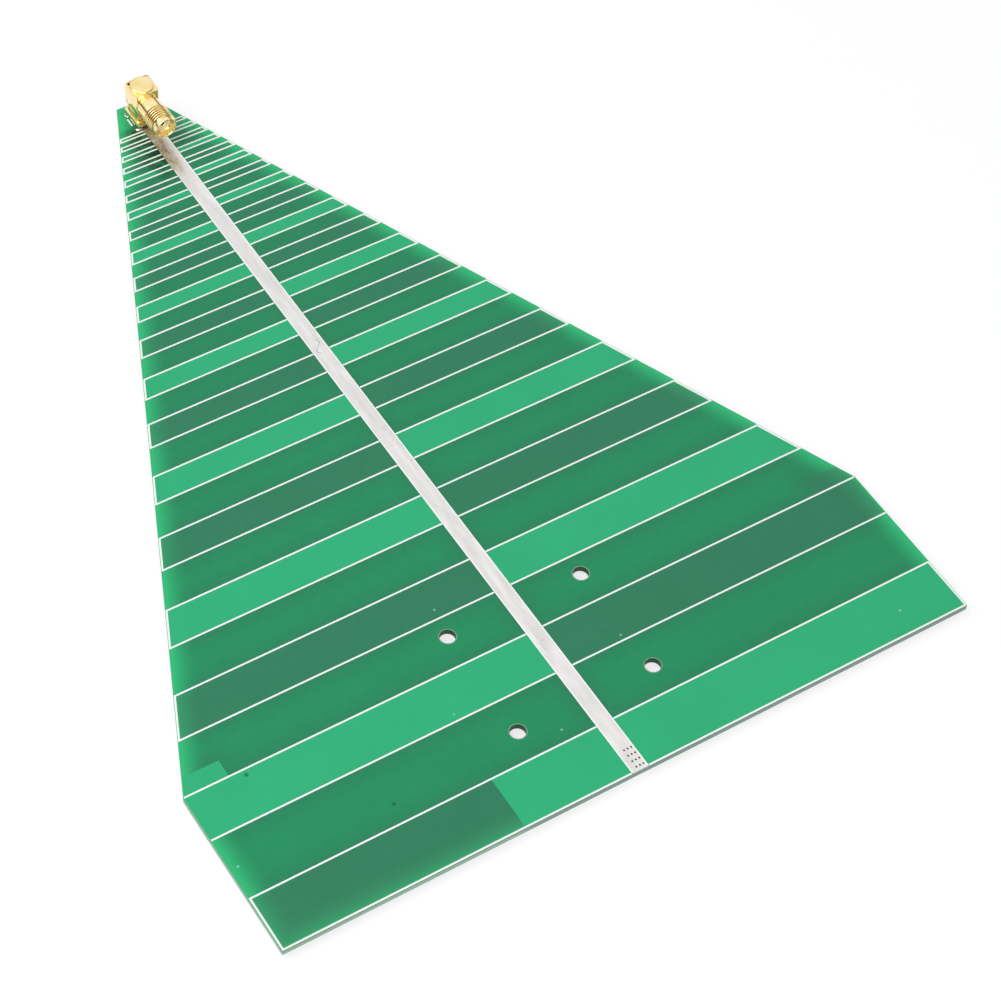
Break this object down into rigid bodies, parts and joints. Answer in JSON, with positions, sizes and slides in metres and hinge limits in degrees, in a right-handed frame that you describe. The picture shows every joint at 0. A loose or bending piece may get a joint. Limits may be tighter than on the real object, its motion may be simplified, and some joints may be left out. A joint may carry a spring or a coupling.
{
  "type": "printed log-periodic dipole antenna",
  "caption": "Flat tapering circuit-board antenna that sends and receives radio waves over a wide band, fed through a right-angle threaded coaxial jack at its narrow end.",
  "frame": {"origin": "middle of the board's length and width, on the level of the tips of the jack's legs", "axes": "+Y along the feed line to the narrow end, +Z out of the front of the board, +X to the right arms"},
  "size_m": [0.166, 0.219, 0.0139],
  "materials": {
    "glass_epoxy": "pale green glass-epoxy laminate, sawn edges",
    "copper": "etched copper foil under the mask",
    "solder_mask": "glossy green liquid solder mask",
    "tin": "hot-levelled tin on the bare copper",
    "legend_ink": "white screen-printed legend",
    "plating": "tinned copper plating in the drilled holes",
    "gold_plated_brass": "polished gold plating on turned and milled brass",
    "ptfe": "white PTFE",
    "gold_plated_contact": "gold plating on beryllium copper",
    "solder": "bright tin solder"
  },
  "bodies": {
    "root": {"laminate": "glass_epoxy", "front_copper": "copper", "back_copper": "copper", "front_solder_mask": "solder_mask", "back_solder_mask": "solder_mask", "front_tin_coating": "tin", "back_tin_coating": "tin", "front_legend": "legend_ink", "back_legend": "legend_ink", "via_barrels": "plating", "leg_hole_barrels": "plating", "pin_hole_barrel": "plating", "jack_block": "gold_plated_brass", "jack_barrel": "gold_plated_brass", "jack_cap": "gold_plated_brass", "barrel_insulator": "ptfe", "elbow_insulator": "ptfe", "centre_contact": "gold_plated_contact", "elbow_pin": "gold_plated_contact", "leg_solder_joints": "solder", "pin_solder_joint": "solder"}
  },
  "joints": []
}
